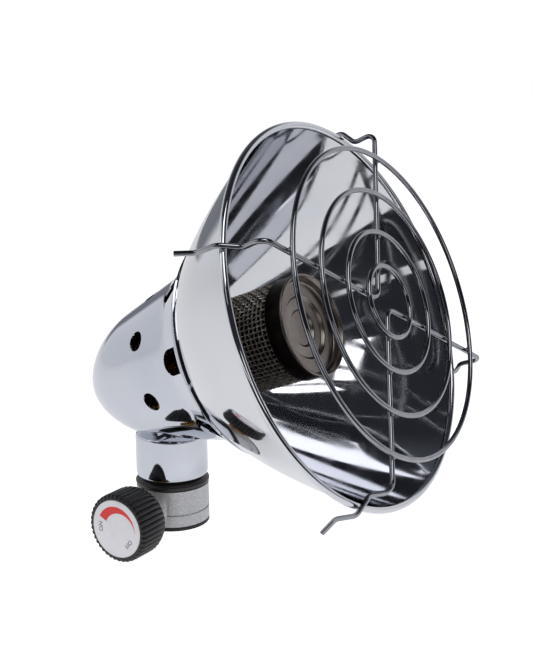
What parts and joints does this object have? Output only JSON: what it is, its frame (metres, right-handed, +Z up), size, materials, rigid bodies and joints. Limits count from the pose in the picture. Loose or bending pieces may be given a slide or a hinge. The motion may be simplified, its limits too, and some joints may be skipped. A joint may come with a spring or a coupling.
{
  "type": "screw-on radiant camping heater",
  "caption": "Screw-on gas camping heater: polished reflector bowl with a gauze burner and wire guard, on a perforated housing above a valve with a ribbed regulator knob.",
  "frame": {"origin": "centre of the cartridge socket, in the plane of the valve's bottom face", "axes": "+Z up along the socket, out through the top of the valve; the reflector opens towards -Y, tilted 20.6 degrees up; the knob points to -X"},
  "size_m": [0.1528, 0.1631, 0.1784],
  "materials": {
    "polished_aluminium": "mirror polished spun sheet",
    "chromed_steel": "bright chrome plate",
    "guard_chrome": "bright chrome plated wire",
    "cast_grey": "fine grey cast surface, matte",
    "black_rubber": "matte",
    "dark_washer": "matte dark brown",
    "brass": "turned",
    "bronze": "sintered",
    "steel": "turned",
    "burner_gauze": "woven wire, matte",
    "burner_steel": "satin, lightly heat tinted",
    "tinted_steel": "dark heat tint",
    "soft_aluminium": "pressed",
    "black_plastic": "matte",
    "white_plastic": "satin, with printed dial marks"
  },
  "bodies": {
    "heater": {"reflector_bowl": "polished_aluminium", "rear_housing": "chromed_steel", "mounting_cup": "chromed_steel", "valve_body": "cast_grey", "base_seal": "black_rubber", "depressor_pin": "brass", "socket_oring": "black_rubber", "seal_washer": "dark_washer", "saddle_washer": "soft_aluminium", "clamp_nut": "brass", "gas_jet": "brass", "jet_filter": "bronze", "mixing_tube": "brass", "burner_base": "burner_steel", "neck_nut": "brass", "burner_mesh": "burner_gauze", "burner_screen": "burner_steel", "burner_collar": "tinted_steel", "burner_cap": "burner_steel", "gland_nut": "brass", "spindle_oring": "black_rubber"},
    "knob": {"control_knob": "black_plastic", "dial_disc": "white_plastic", "spindle": "steel", "knob_screw": "steel"},
    "needle": {"needle": "steel"},
    "guard": {"guard_wire_upper": "guard_chrome", "guard_wire_lower": "guard_chrome", "guard_ring_1": "guard_chrome", "guard_ring_2": "guard_chrome", "guard_ring_3": "guard_chrome", "guard_ring_4": "guard_chrome"}
  },
  "joints": [
    {"name": "knob_turn", "type": "hinge", "parent": "heater", "child": "knob", "pos_m": [0, 0, 0.0083], "axis": [-1, 0, 0], "range_deg": [0, 240]},
    {"name": "needle_slide", "type": "slide", "parent": "heater", "child": "needle", "axis": [-1, 0, 0], "range_m": [0, 0.0005]},
    {"name": "guard_turn", "type": "hinge", "parent": "heater", "child": "guard", "pos_m": [0, -0.0874, 0.1005], "axis": [0, -0.9361, 0.3518], "continuous": true}
  ],
  "couplings": [
    {"joint": "needle_slide", "follows": "knob_turn", "m_per_rad": 0.000119}
  ]
}
